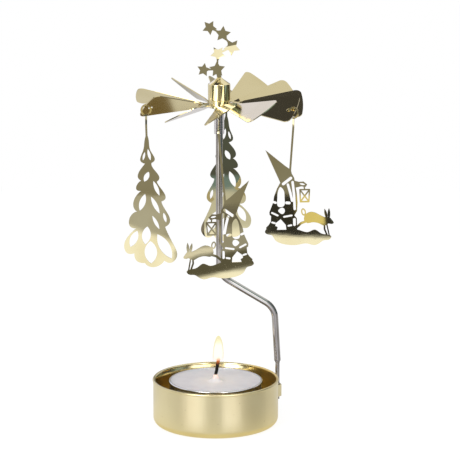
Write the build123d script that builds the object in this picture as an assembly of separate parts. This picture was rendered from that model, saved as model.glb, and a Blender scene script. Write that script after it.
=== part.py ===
from build123d import *
import os
from math import atan2, cos, degrees, radians, sin, sqrt, tan

os.makedirs("parts", exist_ok=True)

# Millimetres and degrees. The cup stands on z = 0 around the Z axis. The stem rises at +X
# and bends over to the cup's middle, where its ground point carries the rotor.

# Clearances
SEAT_GAP = 0.05       # between pieces that are pushed together
BEARING_GAP = 0.03    # between the stem's point and the tube's closed end
HOOK_GAP = 0.11       # between a hook ring and the sheet it hangs on

# Candle cup
CUP_RADIUS = 25.8
CUP_HEIGHT = 19.0
CUP_SHEET = 0.6
CUP_CORNER = 3.0
BEAD_RADIUS = 0.55
STRAP_BOTTOM = 9.8
STRAP_HEIGHT = 4.9
STRAP_SPAN = 8.4

# Stem
STEM_RADIUS = 1.35
TONGUE_THICKNESS = 1.3
TONGUE_WIDTH = 2.4
TONGUE_END = 8.3
TONGUE_TOP = 23.6
TONGUE_SHOULDER = 1.1
LOW_BEND = 47.3
HIGH_BEND = 62.4
BEND_RADIUS = 8.5
STEM_LEAN = 1.4       # inward, from the cup up to the low bend
AXIS_REACH = 1.6      # from the cup's middle to the upper run of the stem
NEEDLE_LENGTH = 6.0
NEEDLE_TIP = 0.12

# Rotor
ROTOR_HEIGHT = 132.8
ROTOR_REST_ANGLE = -15.0
BLADE_COUNT = 12
BLADE_TIP_RADIUS = 33.8
BLADE_ROOT_RADIUS = 9.8
BLADE_SLOT = 1.1      # metal cut away between two blades
BLADE_CORNER = 2.2
NECK_WIDTH = 2.6
NECK_THINNING = 0.04  # lost by the sheet where it is twisted
PLATE_SHEET = 0.4
PLATE_RADIUS = 6.2

# Pitch, rise and sideways turn of each blade, as bent by hand
BLADE_BENDS = [
    (35, 1, 0), (36, 6, -6), (34, 11, -3), (36, 6, -4), (38, 6, -3), (26, 2, -5),
    (30, 8, 0), (38, 4, 0), (26, 0, 2), (33, 2, 2), (28, 3, 3), (35, 1, 7),
]

# Hub
HUB_RADIUS = 4.5
HUB_SHEET = 0.5
HUB_HEIGHT = 6.7
HUB_CONE = 2.6
HUB_TIP_RADIUS = 0.8
HUB_CORNER = 0.3
COLLAR_RADIUS = 4.0
COLLAR_HEIGHT = 1.5
FLANGE_RADIUS = 4.4
FLANGE_SHEET = 0.9
BUSH_HEIGHT = 4.5
TUBE_RADIUS = 2.05
TUBE_WALL = 0.45
TUBE_BOTTOM = 121.0

# Star ornament
STAR_SHEET = 0.4
STAR_WAIST = 0.52     # inner to outer radius
STAR_LINK = 0.7
STAR_CHAIN_HEIGHT = 20.1
TAB_WIDTH = 1.8

# Hanging figures
FIGURE_SHEET = 0.4
STRIP_WIDTH = 0.8
RING_BORE = 1.75
RING_BAND = 0.65
RING_OPENING = 30.0
HOLE_RADIUS = 1.0
HOLE_OFFSET = -1.2    # along the blade's chord, toward its lower edge
HOOK_WEB = 1.9        # sheet between hole and blade tip
TWIST_LENGTH = 4.0
TREE_HEIGHT = 54.4
TREE_LEAN = 1.5       # turns the drawn tree until it hangs plumb
TREE_LEFT_HANG = 9.7
TREE_BACK_HANG = 10.3
GNOME_HEIGHT = 39.0
GNOME_RIGHT_HANG = 23.3
GNOME_FRONT_HANG = 33.2
LINE = 0.55           # thin drawn lines of the figures

# Tea light
LIGHT_RADIUS = 19.0
LIGHT_HEIGHT = 17.6
LIGHT_FOIL = 0.35
LIGHT_CORNER = 1.2
LIGHT_BEAD = 0.3
WAX_DEPTH = 16.8
WAX_MOUND = 2.7
WAX_MOUND_RADIUS = 4.2
WICK_RADIUS = 0.7
WICK_ABOVE_WAX = 9.7
WICK_TIP_REACH = 1.3
SUSTAINER_RADIUS = 6.0
SUSTAINER_SHEET = 0.3
SUSTAINER_NECK = 3.0

UPRIGHT = (Align.CENTER, Align.CENTER, Align.MIN)
HANGING = (Align.CENTER, Align.CENTER, Align.MAX)

STEM_REACH = CUP_RADIUS + SEAT_GAP + TONGUE_THICKNESS / 2
PLATE_TOP = ROTOR_HEIGHT + PLATE_SHEET / 2
PLATE_BOTTOM = ROTOR_HEIGHT - PLATE_SHEET / 2
HUB_BOTTOM = PLATE_TOP + COLLAR_HEIGHT
HUB_SHOULDER = HUB_BOTTOM + HUB_HEIGHT
HUB_TOP = HUB_SHOULDER + HUB_CONE
BUSH_RADIUS = COLLAR_RADIUS - HUB_SHEET - SEAT_GAP
TUBE_TOP = HUB_SHOULDER
NEEDLE_TOP = TUBE_TOP - TUBE_WALL - BEARING_GAP
LIGHT_BOTTOM = CUP_SHEET + SEAT_GAP
LIGHT_FLOOR = LIGHT_BOTTOM + LIGHT_FOIL
WAX_TOP = LIGHT_FLOOR + WAX_DEPTH


def polygon(*points):
    return make_face(Polyline(*points, close=True))


def blob(*points):
    return make_face(Spline(*points, periodic=True))


def lobed(*lobes):
    """A closed outline of smooth lobes that meet in notches."""
    return make_face([Spline(*lobe) for lobe in lobes])


def stroke(*points, width=LINE):
    """A drawn line of even width with round ends and corners."""
    line = Sketch()
    for start, end in zip(points, points[1:]):
        run = Vector(*end) - Vector(*start)
        middle = (Vector(*start) + Vector(*end)) / 2
        angle = degrees(atan2(run.Y, run.X))
        line += Pos(middle.X, middle.Y) * Rot(0, 0, angle) * SlotCenterToCenter(run.length, width)
    return line


def leaf(start, end, width):
    """A pointed leaf from start to end."""
    a, b = Vector(*start), Vector(*end)
    side = Vector(a.Y - b.Y, b.X - a.X).normalized() * width / 2
    middle = (a + b) / 2
    return make_face(ThreePointArc(a, middle + side, b) + ThreePointArc(b, middle - side, a))


def star(centre, radius, turn):
    corners = []
    for i in range(10):
        reach = radius if i % 2 == 0 else radius * STAR_WAIST
        angle = radians(turn + 36 * i)
        corners.append((centre[0] + reach * cos(angle), centre[1] + reach * sin(angle)))
    return polygon(*corners)


def sheet(sketch, thickness):
    """A flat piece standing in the XZ plane, half its thickness to each side."""
    return extrude(Plane.XZ * sketch, thickness / 2, both=True)


def candle_cup():
    body = Cylinder(CUP_RADIUS, CUP_HEIGHT - BEAD_RADIUS, align=UPRIGHT)
    body = fillet(body.edges().group_by(Axis.Z)[0], CUP_CORNER)
    inside = Pos(0, 0, CUP_SHEET) * Cylinder(CUP_RADIUS - CUP_SHEET, CUP_HEIGHT, align=UPRIGHT)
    inside = fillet(inside.edges().group_by(Axis.Z)[0], CUP_CORNER - CUP_SHEET)
    bead = Pos(0, 0, CUP_HEIGHT - BEAD_RADIUS) * Torus(CUP_RADIUS - CUP_SHEET / 2, BEAD_RADIUS)
    cup = body - inside + bead

    passage = TONGUE_WIDTH + 2 * SEAT_GAP
    notch = Box(2 * BEAD_RADIUS, passage, 3 * BEAD_RADIUS, align=(Align.MIN, Align.CENTER, Align.MAX))
    cup -= Pos(CUP_RADIUS, 0, CUP_HEIGHT) * notch

    window = Box(4 * CUP_SHEET, STRAP_SPAN - 2, STRAP_HEIGHT, align=UPRIGHT)
    cup -= Pos(CUP_RADIUS, 0, STRAP_BOTTOM) * window
    crown = CUP_RADIUS + TONGUE_THICKNESS + 2 * SEAT_GAP
    foot = sqrt((CUP_RADIUS - CUP_SHEET) ** 2 - (STRAP_SPAN / 2) ** 2)
    half, top = STRAP_SPAN / 2, passage / 2 + 0.2
    under = polygon((foot, -half + CUP_SHEET), (crown, -top), (crown, top), (foot, half - CUP_SHEET))
    over = polygon((foot, -half), (crown + CUP_SHEET, -top - CUP_SHEET / 2),
                   (crown + CUP_SHEET, top + CUP_SHEET / 2), (foot, half))
    strap = Pos(0, 0, STRAP_BOTTOM) * extrude(over - under, STRAP_HEIGHT)
    return cup + (strap - Cylinder(CUP_RADIUS - CUP_SHEET, 3 * CUP_HEIGHT))


def stem():
    needle_base = NEEDLE_TOP - NEEDLE_LENGTH
    path = Plane.XZ * FilletPolyline(
        (STEM_REACH, TONGUE_TOP + TONGUE_SHOULDER),
        (STEM_REACH - STEM_LEAN, LOW_BEND),
        (AXIS_REACH, HIGH_BEND),
        (AXIS_REACH, needle_base),
        radius=BEND_RADIUS,
    )
    rod_end = Plane(path @ 0, z_dir=path % 0) * Circle(STEM_RADIUS)
    rod = sweep(rod_end, path)
    needle = Pos(AXIS_REACH, 0, needle_base) * Cone(STEM_RADIUS, NEEDLE_TIP, NEEDLE_LENGTH, align=UPRIGHT)
    blade = RectangleRounded(TONGUE_THICKNESS, TONGUE_WIDTH, TONGUE_THICKNESS / 4)
    shoulder = loft([Pos(STEM_REACH, 0, TONGUE_TOP) * blade, rod_end])
    tongue = Pos(STEM_REACH, 0, TONGUE_END) * extrude(blade, TONGUE_TOP - TONGUE_END)
    return rod + needle + shoulder + tongue


def bent(bend):
    """Turns a flat blade along +X to its pitch, lifts its tip and turns it sideways, from the plate's rim."""
    pitch, rise, aside = bend
    turned = Rot(0, 0, aside) * Rot(0, -rise, 0) * Rot(pitch, 0, 0)
    return Pos(PLATE_RADIUS, 0, 0) * turned * Pos(-PLATE_RADIUS, 0, 0)


def blade_with_neck(bend, hook_hole):
    """One blade along +X on the plate's mid plane, its upper edge at +Y."""
    slope = tan(radians(180 / BLADE_COUNT))
    outer = BLADE_TIP_RADIUS + 5
    half_root = BLADE_ROOT_RADIUS * slope - BLADE_SLOT / 2
    half_outer = outer * slope - BLADE_SLOT / 2
    outline = polygon((BLADE_ROOT_RADIUS, -half_root), (outer, -half_outer),
                      (outer, half_outer), (BLADE_ROOT_RADIUS, half_root))
    outline &= Circle(BLADE_TIP_RADIUS)
    outline = fillet(outline.vertices().group_by(Axis.X)[-1], BLADE_CORNER)
    if hook_hole:
        outline -= Pos(HOLE_CENTRE, HOLE_OFFSET) * Circle(HOLE_RADIUS)
    blade = bent(bend) * extrude(outline, PLATE_SHEET / 2, both=True)
    inner_end = Plane.YZ * Rectangle(NECK_WIDTH, PLATE_SHEET - NECK_THINNING)
    outer_end = Plane.YZ * Rectangle(2 * half_root, PLATE_SHEET - NECK_THINNING)
    neck = loft([
        Pos(PLATE_RADIUS - 0.6, 0, 0) * inner_end,
        bent(bend) * Pos(BLADE_ROOT_RADIUS + 0.6, 0, 0) * outer_end,
    ], ruled=True)
    return blade + neck


def rotor():
    plate = extrude(Circle(PLATE_RADIUS) - Circle(BUSH_RADIUS + SEAT_GAP), PLATE_SHEET / 2, both=True)
    for i, bend in enumerate(BLADE_BENDS):
        plate += Rot(0, 0, 360 / BLADE_COUNT * i) * blade_with_neck(bend, i % 2 == 1)
    return on_axis(ROTOR_HEIGHT) * plate


def on_axis(height):
    return Pos(AXIS_REACH, 0, height) * Rot(0, 0, ROTOR_REST_ANGLE)


def thimble(collar, barrel, bottom, step, top):
    """A collar, a wider barrel on it and a flat cone up to the top."""
    solid = Pos(0, 0, bottom) * Cylinder(collar, step - bottom, align=UPRIGHT)
    solid += Pos(0, 0, step) * Cylinder(barrel, HUB_SHOULDER - step, align=UPRIGHT)
    return solid + Pos(0, 0, HUB_SHOULDER) * Cone(barrel, HUB_TIP_RADIUS, top - HUB_SHOULDER, align=UPRIGHT)


def hub_cap():
    cap = thimble(COLLAR_RADIUS, HUB_RADIUS, PLATE_TOP, HUB_BOTTOM, HUB_TOP)
    rims = cap.edges().filter_by(GeomType.CIRCLE).filter_by(lambda rim: rim.radius > HUB_RADIUS - 0.01)
    cap = fillet(rims, HUB_CORNER)
    cap -= thimble(COLLAR_RADIUS - HUB_SHEET, HUB_RADIUS - HUB_SHEET, PLATE_TOP,
                   HUB_BOTTOM + HUB_SHEET, HUB_TOP - HUB_SHEET)
    slot = Box(TAB_WIDTH + 2 * SEAT_GAP, STAR_SHEET + 2 * SEAT_GAP, HUB_CONE)
    return on_axis(0) * (cap - Pos(0, 0, HUB_TOP) * slot)


def hub_bush():
    bush = Cylinder(BUSH_RADIUS, BUSH_HEIGHT, align=UPRIGHT)
    bush += Cylinder(FLANGE_RADIUS, FLANGE_SHEET, align=HANGING)
    return on_axis(PLATE_BOTTOM) * (bush - Cylinder(TUBE_RADIUS + SEAT_GAP / 2, 4 * BUSH_HEIGHT))


def bearing_tube():
    length = TUBE_TOP - TUBE_BOTTOM
    tube = Cylinder(TUBE_RADIUS, length, align=UPRIGHT)
    tube = fillet(tube.edges().group_by(Axis.Z)[-1], 0.8)
    tube -= Cylinder(TUBE_RADIUS - TUBE_WALL, length - TUBE_WALL, align=UPRIGHT)
    return on_axis(TUBE_BOTTOM) * tube


def star_ornament():
    # Centre beside the axis, height above the hub, radius, direction of one point
    stars = [
        (-3.8, 20.1, 3.05, 60),
        (1.45, 17.5, 3.3, 157),
        (5.1, 12.3, 3.45, 122),
        (-0.5, 9.6, 3.1, 268),
        (-0.8, 3.3, 3.3, 92),
        (-6.2, 3.1, 2.8, 8),
    ]
    chain = stroke(*[(x, z) for x, z, radius, turn in stars], width=STAR_LINK)
    for x, z, radius, turn in stars:
        chain += star((x, z), radius, turn)
    chain = scale(chain, STAR_CHAIN_HEIGHT / stars[0][1])
    tab_end = TUBE_TOP + SEAT_GAP - HUB_TOP
    chain += polygon((-TAB_WIDTH / 2, tab_end), (TAB_WIDTH / 2, tab_end), (TAB_WIDTH / 2, 0.4), (0.2, 2.6), (-1.4, 2.6),
                     (-TAB_WIDTH / 2, 0.4))
    return on_axis(HUB_TOP) * sheet(chain, STAR_SHEET)


def fir_tree():
    """Fir tree with drooping boughs, its top at the sketch's origin."""
    tree = lobed(
        [(0, 0.3), (0.9, -2.6), (1.5, -6.6), (3.2, -10.4), (1.9, -11.6)],
        [(1.9, -11.6), (3.0, -14.4), (5.0, -17.8), (4.0, -19.2)],
        [(4.0, -19.2), (5.8, -22.2), (7.4, -26.0), (5.8, -27.2)],
        [(5.8, -27.2), (7.4, -30.8), (9.2, -35.2), (7.2, -37.6)],
        [(7.2, -37.6), (8.6, -41.0), (10.6, -45.0), (11.9, -49.6), (10.2, -52.0), (6.8, -51.4)],
        [(6.8, -51.4), (4.8, -53.4), (1.8, -54.1), (-1.0, -52.4)],
        [(-1.0, -52.4), (-4.4, -51.4), (-5.2, -48.4)],
        [(-5.2, -48.4), (-8.6, -47.8), (-9.3, -45.4), (-7.6, -41.4), (-4.4, -38.2)],
        [(-4.4, -38.2), (-7.1, -36.9), (-6.8, -33.6), (-4.0, -31.4)],
        [(-4.0, -31.4), (-5.5, -28.9), (-4.8, -25.8), (-2.2, -22.9)],
        [(-2.2, -22.9), (-4.3, -22.0), (-3.8, -20.2), (-2.2, -18.8)],
        [(-2.2, -18.8), (-3.6, -17.2), (-2.6, -14.4), (-0.7, -11.9)],
        [(-0.7, -11.9), (-2.5, -10.7), (-1.4, -6.6), (-0.8, -2.6), (0, 0.3)],
    )
    openings = [
        ((-0.7, -7.2), (-1.5, -10.6), 0.9), ((0.5, -6.0), (1.5, -10.6), 1.2), ((0.8, -15.2), (-1.0, -19.2), 2.0),
        ((2.6, -18.9), (5.0, -24.9), 1.6), ((-0.7, -24.2), (-2.9, -31.0), 2.4), ((1.6, -25.2), (5.0, -32.2), 1.8),
        ((6.6, -31.8), (7.6, -35.8), 1.2), ((2.1, -33.0), (4.9, -38.6), 1.4), ((-3.9, -39.2), (-6.8, -45.8), 3.0),
        ((0.1, -37.4), (-0.8, -44.8), 3.5), ((1.3, -43.4), (1.5, -52.6), 5.0), ((4.1, -40.6), (9.8, -50.6), 4.2),
    ]
    for start, end, width in openings:
        tree -= leaf(start, end, width)
    return Rot(0, 0, -TREE_LEAN) * scale(tree, TREE_HEIGHT / tree.bounding_box().size.Y)


def gnome():
    """Gnome with a lantern and a running hare on snow, the strip's foot at the sketch's origin."""
    hat = polygon((-9.6, 8.5), (-2.0, 2.1), (0.4, 0.3), (0.8, -1.4), (-3.9, -4.8))
    coat = polygon(
        (-3.9, -4.7), (-5.3, -7.2), (-6.5, -10.4), (-6.9, -12.8), (-8.5, -16.8), (-8.4, -17.8), (-7.8, -18.3),
        (-8.0, -20.7), (-8.9, -22.0), (-9.9, -23.0), (-9.6, -25.0), (2.6, -25.0), (2.5, -19.4), (1.5, -18.2),
        (2.6, -16.4), (2.9, -13.0), (2.6, -9.0), (2.0, -5.2), (1.7, -3.0), (0.8, -1.3),
    )
    openings = [
        stroke((-2.7, -5.3), (0.3, -3.0), width=1.2),
        blob((-3.6, -6.6), (-2.5, -8.2), (-2.3, -11.2), (-2.8, -14.4), (-4.7, -14.6), (-5.2, -11.2), (-4.8, -8.0)),
        blob((-4.6, -15.6), (-2.5, -15.4), (-2.3, -16.6), (-3.3, -17.6), (-4.5, -16.9)),
        stroke((-0.9, -5.6), (0.1, -9.2), (0.7, -12.2), width=1.0),
        stroke((1.0, -4.6), (1.5, -9.6), (1.7, -15.6), width=1.0),
        stroke((-6.9, -12.5), (-5.9, -12.9), width=1.0),
        stroke((-1.5, -13.0), (-0.5, -13.1), width=1.2),
        stroke((-7.4, -17.0), (-5.2, -18.1), width=0.8),
        stroke((-2.6, -18.7), (0.4, -18.2), width=0.8),
        polygon((-4.0, -19.6), (-2.0, -22.0), (-1.8, -24.0), (-5.6, -24.0), (-5.2, -22.9), (-6.2, -22.3), (-6.0, -21.2)),
        stroke((-7.4, -20.9), (-6.4, -21.2), width=0.8),
        stroke((-0.9, -22.4), (0.2, -22.2), width=0.8),
        stroke((1.5, -19.8), (1.5, -22.0), width=1.1),
    ]
    for opening in openings:
        coat -= opening
    arm = polygon((1.7, -4.1), (3.6, -4.6), (5.4, -4.5), (6.8, -5.7), (6.2, -6.7), (4.4, -6.4), (2.2, -6.9))
    arm -= leaf((3.7, -5.3), (6.0, -5.8), 0.8)
    lantern = stroke((5.5, -6.2), (5.8, -7.8))
    lantern += stroke((3.9, -7.8), (7.7, -7.8), (7.4, -12.7), (4.0, -12.7), (3.9, -7.8))
    lantern += stroke((3.9, -7.8), (7.4, -12.7)) + stroke((7.7, -7.8), (4.0, -12.7))
    hare = blob(
        (5.4, -19.0), (6.6, -17.4), (8.6, -16.9), (10.8, -17.7), (12.6, -18.7), (14.2, -19.2), (15.4, -19.2),
        (16.6, -20.4), (17.2, -21.6), (16.4, -22.0), (15.2, -21.8), (14.4, -22.2), (13.4, -22.6), (12.0, -22.0),
        (10.2, -21.3), (8.4, -21.2), (6.6, -21.4), (5.5, -20.5),
    )
    hare += leaf((14.7, -20.2), (13.6, -15.7), 1.1) + leaf((15.3, -20.2), (15.4, -15.5), 1.1)
    hare += stroke((13.5, -22.0), (13.5, -24.0), (14.5, -26.6), width=0.7) + stroke((14.4, -21.8), (15.4, -26.8))
    hare += stroke((6.6, -20.6), (4.2, -21.4), (2.2, -23.2), width=0.9)
    hare += Pos(5.2, -16.9) * Rot(0, 0, 12) * (Ellipse(0.95, 1.5) - Ellipse(0.45, 1.0))
    snow = blob(
        (-10.3, -24.3), (-9.2, -23.3), (-6.4, -24.4), (-3.6, -24.0), (-1.0, -24.6), (1.6, -24.0), (4.4, -24.6),
        (7.0, -25.1), (9.6, -24.2), (12.0, -25.7), (14.4, -26.3), (16.2, -27.2), (15.4, -28.3), (13.2, -28.6),
        (11.6, -29.6), (9.4, -30.5), (6.4, -29.8), (3.0, -30.2), (-1.0, -30.2), (-4.4, -29.4), (-6.6, -27.8),
        (-7.6, -26.2), (-9.6, -25.6),
    )
    scene = hat + coat + arm + lantern + hare + snow
    return scale(scene, GNOME_HEIGHT / scene.bounding_box().size.Y)


HOLE_TIP = sqrt(BLADE_TIP_RADIUS ** 2 - HOLE_OFFSET ** 2)
HOLE_CENTRE = HOLE_TIP - HOOK_WEB - HOLE_RADIUS


def ring_seat(bend):
    """Where the middle of a hook ring hangs, for a blade along +X."""
    pitch, rise, aside = [radians(angle) for angle in bend]
    web = (bent(bend) * Pos(HOLE_TIP - HOOK_WEB / 2, HOLE_OFFSET, 0)).position
    across = tan(rise) + abs(sin(aside)) * tan(pitch)
    top = PLATE_SHEET / 2 / cos(pitch) + FIGURE_SHEET / 2 * tan(pitch) + HOOK_WEB / 2 * across
    drop = sqrt(RING_BORE ** 2 - (HOOK_WEB / 2) ** 2) - HOOK_GAP - top
    return Pos(web.X, web.Y, web.Z - drop)


def figure(drawing, hang, blade, turn, lean, mirrored):
    """A figure hung on a blade. Its strip is turned below the ring, so that the picture faces the front."""
    neck_top = RING_BORE + RING_BAND / 2
    neck_end = neck_top + TWIST_LENGTH
    wedge = polygon((0, 0), *[(9 * cos(radians(a)), 9 * sin(radians(a))) for a in (270 - RING_OPENING, 270)])
    ring = Circle(RING_BORE + RING_BAND) - Circle(RING_BORE) - wedge
    ring += Pos(0, -neck_top) * Rectangle(STRIP_WIDTH, RING_BAND)
    hook = sheet(ring, FIGURE_SHEET)

    foot = -drawing.center().X
    half = STRIP_WIDTH / 2
    start = neck_end - 0.3
    strip = polygon((-half, -start), (half, -start), (foot + half, -hang - 1), (foot - half, -hang - 1))
    leaning = Pos(0, -neck_end) * Rot(0, 0, lean) * Pos(0, neck_end)
    picture = sheet(leaning * (strip + Pos(foot, -hang) * drawing), FIGURE_SHEET)
    if mirrored:
        picture = mirror(picture, Plane.YZ)

    section = Rectangle(STRIP_WIDTH - NECK_THINNING, FIGURE_SHEET - NECK_THINNING)
    neck = loft([
        Pos(0, 0, -neck_top - TWIST_LENGTH * i / 4) * Rot(0, 0, turn * i / 4) * section for i in range(5)
    ])
    hung = hook + neck + Rot(0, 0, turn) * picture
    return on_axis(ROTOR_HEIGHT) * Rot(0, 0, 360 / BLADE_COUNT * blade) * ring_seat(BLADE_BENDS[blade]) * hung


def tealight_cup():
    cup = Cylinder(LIGHT_RADIUS, LIGHT_HEIGHT, align=UPRIGHT)
    cup = fillet(cup.edges().group_by(Axis.Z)[0], LIGHT_CORNER)
    cup += Pos(0, 0, LIGHT_HEIGHT - LIGHT_BEAD) * Torus(LIGHT_RADIUS, LIGHT_BEAD)
    return Pos(0, 0, LIGHT_BOTTOM) * (cup - Pos(0, 0, LIGHT_FOIL) * light_room(LIGHT_HEIGHT))


def light_room(height):
    """The space in the tea light's cup, up to a height above its floor."""
    room = Cylinder(LIGHT_RADIUS - LIGHT_FOIL, height, align=UPRIGHT)
    return fillet(room.edges().group_by(Axis.Z)[0], LIGHT_CORNER - LIGHT_FOIL)


def wick():
    base = LIGHT_FLOOR + SUSTAINER_SHEET + SEAT_GAP
    top = WAX_TOP + WICK_ABOVE_WAX
    bend = WAX_TOP + WAX_MOUND
    path = Line((0, 0, base), (0, 0, bend)) + Bezier((0, 0, bend), (0, 0, bend + 3), (WICK_TIP_REACH, 0, top))
    return sweep(Pos(0, 0, base) * Circle(WICK_RADIUS), path)


def wick_sustainer():
    disc = Cylinder(SUSTAINER_RADIUS, SUSTAINER_SHEET, align=UPRIGHT)
    neck_radius = WICK_RADIUS + SEAT_GAP + SUSTAINER_SHEET
    disc += Cylinder(neck_radius, SUSTAINER_NECK, align=UPRIGHT)
    disc -= Pos(0, 0, SUSTAINER_SHEET) * Cylinder(WICK_RADIUS + SEAT_GAP, SUSTAINER_NECK, align=UPRIGHT)
    return Pos(0, 0, LIGHT_FLOOR) * disc


def wax():
    edge = LIGHT_RADIUS - LIGHT_FOIL
    crest = WICK_RADIUS + SEAT_GAP
    profile = Polyline((crest, WAX_TOP + WAX_MOUND), (0, WAX_TOP + WAX_MOUND), (0, WAX_TOP - 1), (edge, WAX_TOP - 1),
                       (edge, WAX_TOP), (WAX_MOUND_RADIUS, WAX_TOP))
    slope = Spline((WAX_MOUND_RADIUS, WAX_TOP), (crest + 0.9, WAX_TOP + WAX_MOUND / 3), (crest, WAX_TOP + WAX_MOUND),
                   tangents=[(-1, 0), (-0.25, 1)])
    block = revolve(Plane.XZ * make_face(profile + slope), Axis.Z)
    block += Pos(0, 0, LIGHT_FLOOR) * light_room(WAX_DEPTH - 0.5)
    block -= wick_sustainer()
    return block - Pos(0, 0, LIGHT_FLOOR) * Cylinder(WICK_RADIUS + SEAT_GAP, 2 * WAX_DEPTH, align=UPRIGHT)


PIECES = {
    "candle_cup": candle_cup(),
    "stem": stem(),
    "rotor": rotor(),
    "hub_cap": hub_cap(),
    "hub_bush": hub_bush(),
    "bearing_tube": bearing_tube(),
    "star_ornament": star_ornament(),
    "gnome_right": figure(gnome(), GNOME_RIGHT_HANG, blade=11, turn=30, lean=1.2, mirrored=False),
    "tree_back": figure(fir_tree(), TREE_BACK_HANG, blade=3, turn=90, lean=0, mirrored=False),
    "tree_left": figure(fir_tree(), TREE_LEFT_HANG, blade=7, turn=-30, lean=1.5, mirrored=True),
    "gnome_front": figure(gnome(), GNOME_FRONT_HANG, blade=9, turn=90, lean=-2, mirrored=True),
    "tealight_cup": tealight_cup(),
    "wax": wax(),
    "wick": wick(),
    "wick_sustainer": wick_sustainer(),
}

for name, piece in PIECES.items():
    export_step(piece, f"parts/{name}.step")
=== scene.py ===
import bpy
from math import cos, pi, radians, sin
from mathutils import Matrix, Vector


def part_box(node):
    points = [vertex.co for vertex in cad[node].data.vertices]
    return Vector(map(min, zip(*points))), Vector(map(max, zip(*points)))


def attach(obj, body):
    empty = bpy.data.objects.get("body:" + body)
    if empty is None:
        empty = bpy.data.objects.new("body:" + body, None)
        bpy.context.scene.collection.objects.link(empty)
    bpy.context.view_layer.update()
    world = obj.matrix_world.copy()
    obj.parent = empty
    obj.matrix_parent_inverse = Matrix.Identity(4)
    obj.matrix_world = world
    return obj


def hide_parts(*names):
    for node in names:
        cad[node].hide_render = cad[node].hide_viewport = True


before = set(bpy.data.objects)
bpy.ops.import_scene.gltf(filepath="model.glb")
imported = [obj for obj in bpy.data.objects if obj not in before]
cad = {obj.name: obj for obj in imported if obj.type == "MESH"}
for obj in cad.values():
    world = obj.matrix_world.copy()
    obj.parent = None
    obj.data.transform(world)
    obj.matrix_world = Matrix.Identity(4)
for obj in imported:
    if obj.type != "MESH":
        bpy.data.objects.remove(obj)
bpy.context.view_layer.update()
bpy.ops.object.select_all(action="DESELECT")
scene = bpy.context.scene

# Metres, in the CAD's frame. The photograph's viewing angle:
AZIMUTH = radians(-15.0)
ELEVATION = radians(11.79)
CAMERA_DISTANCE = 0.927
CAMERA_LENS = 178.2
CAMERA_SENSOR = 36.0
CAMERA_NEAR = 0.01
AIM_HEIGHT = 0.0813
AIM_RIGHT = 0.0059
TO_CAMERA = Vector((sin(AZIMUTH), -cos(AZIMUTH), 0))
TO_RIGHT = Vector((cos(AZIMUTH), sin(AZIMUTH), 0))
UP = Vector((0, 0, 1))
MM = 0.001

# The flat figures and the stars lie about square to the way that the camera looks
SHEET_FACE = -TO_CAMERA

# The stem's slanted run leads this way, from the axis to the strap on the cup
TO_STRAP = Vector((1, 0, 0))

# Places on the CAD's pieces from which the finishes and the new pieces are set out
CUP_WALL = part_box("candle_cup")[1].y
CUP_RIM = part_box("candle_cup")[1].z
FOIL_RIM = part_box("tealight_cup")[1].z
SUSTAINER_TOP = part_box("wick_sustainer")[1].z
WAX_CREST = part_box("wax")[1].z
WICK_FOOT, WICK_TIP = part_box("wick")


# Node helpers

# A Mix node's colour sockets, by number, since its other kinds share their names
MIX_SHARE, MIX_FIRST, MIX_SECOND, MIX_RESULT = 0, 6, 7, 2


def link(tree, value, socket):
    """Links a socket, or writes a plain value."""
    if isinstance(value, bpy.types.NodeSocket):
        tree.links.new(value, socket)
    else:
        socket.default_value = value


def put(tree, kind, settings=None, **inputs):
    """A new node with its settings and inputs, named with _ for a blank."""
    made = tree.nodes.new("ShaderNode" + kind)
    for key, value in (settings or {}).items():
        setattr(made, key, value)
    for key, value in inputs.items():
        link(tree, value, made.inputs[key.replace("_", " ")])
    return made


def calc(tree, operation, *values, clamp=False):
    """The result of one Math node."""
    made = put(tree, "Math", {"operation": operation, "use_clamp": clamp})
    for value, socket in zip(values, made.inputs):
        link(tree, value, socket)
    return made.outputs[0]


def times(tree, first, second):
    """The product of two values."""
    return calc(tree, "MULTIPLY", first, second)


def scaled(tree, value, gain, base):
    """A value times a gain, on top of a base."""
    return calc(tree, "MULTIPLY_ADD", value, gain, base)


def rest_of(tree, share):
    """What a share leaves of one."""
    return calc(tree, "SUBTRACT", 1.0, share)


def along(tree, vector, direction):
    """How far a vector reaches along a direction."""
    made = put(tree, "VectorMath", {"operation": "DOT_PRODUCT"})
    link(tree, vector, made.inputs[0])
    made.inputs[1].default_value = tuple(direction)
    return made.outputs["Value"]


def from_axis(tree, place):
    """How far a place lies from the cup's upright axis."""
    flat = put(tree, "VectorMath", {"operation": "MULTIPLY"})
    link(tree, place, flat.inputs[0])
    flat.inputs[1].default_value = (1, 1, 0)
    reach = put(tree, "VectorMath", {"operation": "LENGTH"})
    link(tree, flat.outputs[0], reach.inputs[0])
    return reach.outputs["Value"]


def rise(tree, value, low, high):
    """A straight rise from nothing at low to one at high."""
    made = put(tree, "MapRange", Value=value)
    made.inputs["From Min"].default_value = low
    made.inputs["From Max"].default_value = high
    return made.outputs["Result"]


def fade(tree, value, low, high, start=0.0, end=1.0):
    """A smooth step from start at low to end at high."""
    made = put(tree, "MapRange", {"interpolation_type": "SMOOTHSTEP"}, Value=value)
    made.inputs["From Min"].default_value = low
    made.inputs["From Max"].default_value = high
    made.inputs["To Min"].default_value = start
    made.inputs["To Max"].default_value = end
    return made.outputs["Result"]


def fade_out(tree, value, low, high):
    """A smooth step from one at low to nothing at high."""
    return fade(tree, value, low, high, start=1.0, end=0.0)


def between(tree, value, low, high, edge):
    """One between low and high, nothing outside, with soft edges."""
    return times(tree, fade(tree, value, low, low + edge), fade_out(tree, value, high - edge, high))


def blend(tree, share, first, second):
    """Colour first to colour second by share."""
    made = put(tree, "Mix", {"data_type": "RGBA"})
    link(tree, share, made.inputs[MIX_SHARE])
    link(tree, first, made.inputs[MIX_FIRST])
    link(tree, second, made.inputs[MIX_SECOND])
    return made.outputs[MIX_RESULT]


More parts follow.
